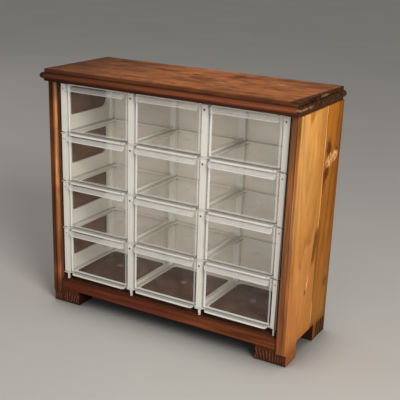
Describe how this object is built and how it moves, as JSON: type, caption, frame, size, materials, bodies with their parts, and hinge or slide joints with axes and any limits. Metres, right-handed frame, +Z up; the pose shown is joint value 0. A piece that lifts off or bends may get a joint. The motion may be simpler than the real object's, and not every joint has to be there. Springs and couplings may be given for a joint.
{
  "type": "tabletop drawer cabinet",
  "caption": "Small tabletop cabinet: a stained wooden case with a moulded top and fluted feet round a plug-together white rack of clear plastic drawers that slide out to the front.",
  "frame": {"origin": "on the floor, at the middle of the bounding box's footprint", "axes": "+X to the right as seen from the front, along the top board; -Y out of the front, the way the drawers open; +Z up"},
  "size_m": [0.344, 0.1324, 0.311],
  "materials": {
    "stained_top": "dark stain, satin varnish",
    "stained_side": "golden stain, satin varnish",
    "stained_base": "dark stain, satin varnish",
    "hardboard": "matt",
    "screw_steel": "plain",
    "white_plastic": "moulded, satin",
    "clear_plastic": "clear, polished"
  },
  "bodies": {
    "case": {"top_board": "stained_top", "base_board": "stained_base", "back_panel": "hardboard", "left_side_front_board": "stained_side", "left_side_rear_board": "stained_side", "right_side_front_board": "stained_side", "right_side_rear_board": "stained_side", "front_left_foot": "stained_base", "front_right_foot": "stained_base", "rear_left_foot": "stained_base", "rear_right_foot": "stained_base", "back_screw_1": "screw_steel", "back_screw_2": "screw_steel", "back_screw_3": "screw_steel", "back_screw_4": "screw_steel", "rack_panel_1_1": "white_plastic", "rack_panel_1_2": "white_plastic", "rack_panel_1_3": "white_plastic", "rack_panel_1_4": "white_plastic", "rack_panel_2_1": "white_plastic", "rack_panel_2_2": "white_plastic", "rack_panel_2_3": "white_plastic", "rack_panel_2_4": "white_plastic", "rack_panel_3_1": "white_plastic", "rack_panel_3_2": "white_plastic", "rack_panel_3_3": "white_plastic", "rack_panel_3_4": "white_plastic", "rack_panel_4_1": "white_plastic", "rack_panel_4_2": "white_plastic", "rack_panel_4_3": "white_plastic", "rack_panel_4_4": "white_plastic", "top_plate_1": "white_plastic", "top_plate_2": "white_plastic", "top_plate_3": "white_plastic", "shelf_1_1": "white_plastic", "shelf_1_2": "white_plastic", "shelf_1_3": "white_plastic", "shelf_2_1": "white_plastic", "shelf_2_2": "white_plastic", "shelf_2_3": "white_plastic", "shelf_3_1": "white_plastic", "shelf_3_2": "white_plastic", "shelf_3_3": "white_plastic", "shelf_4_1": "white_plastic", "shelf_4_2": "white_plastic", "shelf_4_3": "white_plastic"},
    "drawer_1_1": {"drawer_1_1": "clear_plastic"},
    "drawer_1_2": {"drawer_1_2": "clear_plastic"},
    "drawer_1_3": {"drawer_1_3": "clear_plastic"},
    "drawer_2_1": {"drawer_2_1": "clear_plastic"},
    "drawer_2_2": {"drawer_2_2": "clear_plastic"},
    "drawer_2_3": {"drawer_2_3": "clear_plastic"},
    "drawer_3_1": {"drawer_3_1": "clear_plastic"},
    "drawer_3_2": {"drawer_3_2": "clear_plastic"},
    "drawer_3_3": {"drawer_3_3": "clear_plastic"},
    "drawer_4_1": {"drawer_4_1": "clear_plastic"},
    "drawer_4_2": {"drawer_4_2": "clear_plastic"},
    "drawer_4_3": {"drawer_4_3": "clear_plastic"}
  },
  "joints": [
    {"name": "drawer_1_1_slide", "type": "slide", "parent": "case", "child": "drawer_1_1", "axis": [0, -1, 0], "range_m": [0, 0.075]},
    {"name": "drawer_1_2_slide", "type": "slide", "parent": "case", "child": "drawer_1_2", "axis": [0, -1, 0], "range_m": [0, 0.075]},
    {"name": "drawer_1_3_slide", "type": "slide", "parent": "case", "child": "drawer_1_3", "axis": [0, -1, 0], "range_m": [0, 0.075]},
    {"name": "drawer_2_1_slide", "type": "slide", "parent": "case", "child": "drawer_2_1", "axis": [0, -1, 0], "range_m": [0, 0.075]},
    {"name": "drawer_2_2_slide", "type": "slide", "parent": "case", "child": "drawer_2_2", "axis": [0, -1, 0], "range_m": [0, 0.075]},
    {"name": "drawer_2_3_slide", "type": "slide", "parent": "case", "child": "drawer_2_3", "axis": [0, -1, 0], "range_m": [0, 0.075]},
    {"name": "drawer_3_1_slide", "type": "slide", "parent": "case", "child": "drawer_3_1", "axis": [0, -1, 0], "range_m": [0, 0.075]},
    {"name": "drawer_3_2_slide", "type": "slide", "parent": "case", "child": "drawer_3_2", "axis": [0, -1, 0], "range_m": [0, 0.075]},
    {"name": "drawer_3_3_slide", "type": "slide", "parent": "case", "child": "drawer_3_3", "axis": [0, -1, 0], "range_m": [0, 0.075]},
    {"name": "drawer_4_1_slide", "type": "slide", "parent": "case", "child": "drawer_4_1", "axis": [0, -1, 0], "range_m": [0, 0.075]},
    {"name": "drawer_4_2_slide", "type": "slide", "parent": "case", "child": "drawer_4_2", "axis": [0, -1, 0], "range_m": [0, 0.075]},
    {"name": "drawer_4_3_slide", "type": "slide", "parent": "case", "child": "drawer_4_3", "axis": [0, -1, 0], "range_m": [0, 0.075]}
  ]
}
